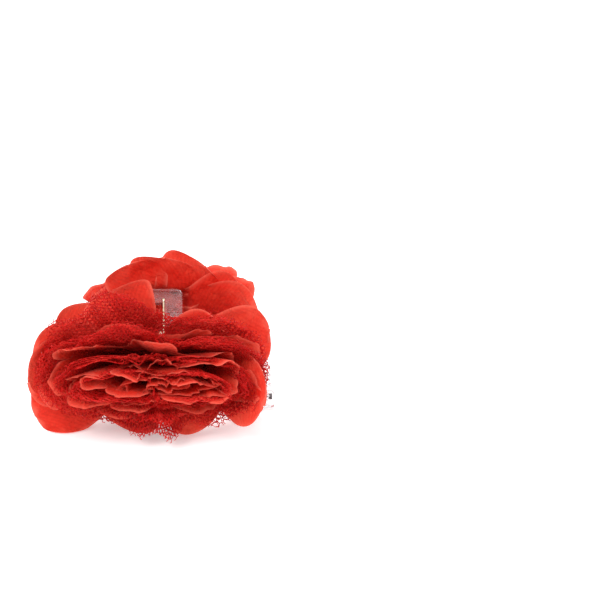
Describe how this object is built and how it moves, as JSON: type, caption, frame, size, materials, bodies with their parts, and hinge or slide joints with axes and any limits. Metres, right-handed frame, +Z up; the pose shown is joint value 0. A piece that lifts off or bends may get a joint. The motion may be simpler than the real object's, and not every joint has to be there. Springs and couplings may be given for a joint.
{
  "type": "flower hair clip",
  "caption": "Clear plastic spring-hinged claw hair clip with a layered satin and lace flower glued to the outside of each jaw.",
  "frame": {"origin": "on the table under the middle of the clip, where it rests on its two toothed rails", "axes": "+X along the hinge pin, -Y towards the front jaw and its flower, +Z up from the teeth to the grips"},
  "size_m": [0.098, 0.108, 0.052],
  "materials": {
    "clear_plastic": "clear moulded plastic, glossy",
    "pin_steel": "bright steel",
    "spring_wire": "gold-tinted spring wire",
    "hot_glue": "hardened hot glue",
    "felt": "dark red felt",
    "red_satin": "thin woven satin, bright red, slightly see-through",
    "red_lace": "open net lace, deep red"
  },
  "bodies": {
    "front_body": {"jaw_front": "clear_plastic", "hinge_pin": "pin_steel", "torsion_spring": "spring_wire", "front_glue_pad": "hot_glue", "front_felt_backing": "felt", "front_petals_1": "red_satin", "front_lace_1": "red_lace", "front_petals_2": "red_satin", "front_lace_2": "red_lace", "front_petals_3": "red_satin", "front_lace_3": "red_lace", "front_petals_4": "red_satin", "front_lace_4": "red_lace", "front_petals_5": "red_satin", "front_ruffle": "red_satin"},
    "back_body": {"jaw_back": "clear_plastic", "back_glue_pad": "hot_glue", "back_felt_backing": "felt", "back_petals_1": "red_satin", "back_lace_1": "red_lace", "back_petals_2": "red_satin", "back_lace_2": "red_lace", "back_petals_3": "red_satin", "back_lace_3": "red_lace", "back_petals_4": "red_satin", "back_lace_4": "red_lace", "back_petals_5": "red_satin", "back_ruffle": "red_satin"}
  },
  "joints": [
    {"name": "jaw_open", "type": "hinge", "parent": "front_body", "child": "back_body", "pos_m": [0, 0, 0.026], "axis": [1, 0, 0], "range_deg": [0, 60], "stiffness_Nm_per_rad": 0.08, "springref_deg": -57.3, "deforming": ["torsion_spring"]}
  ]
}
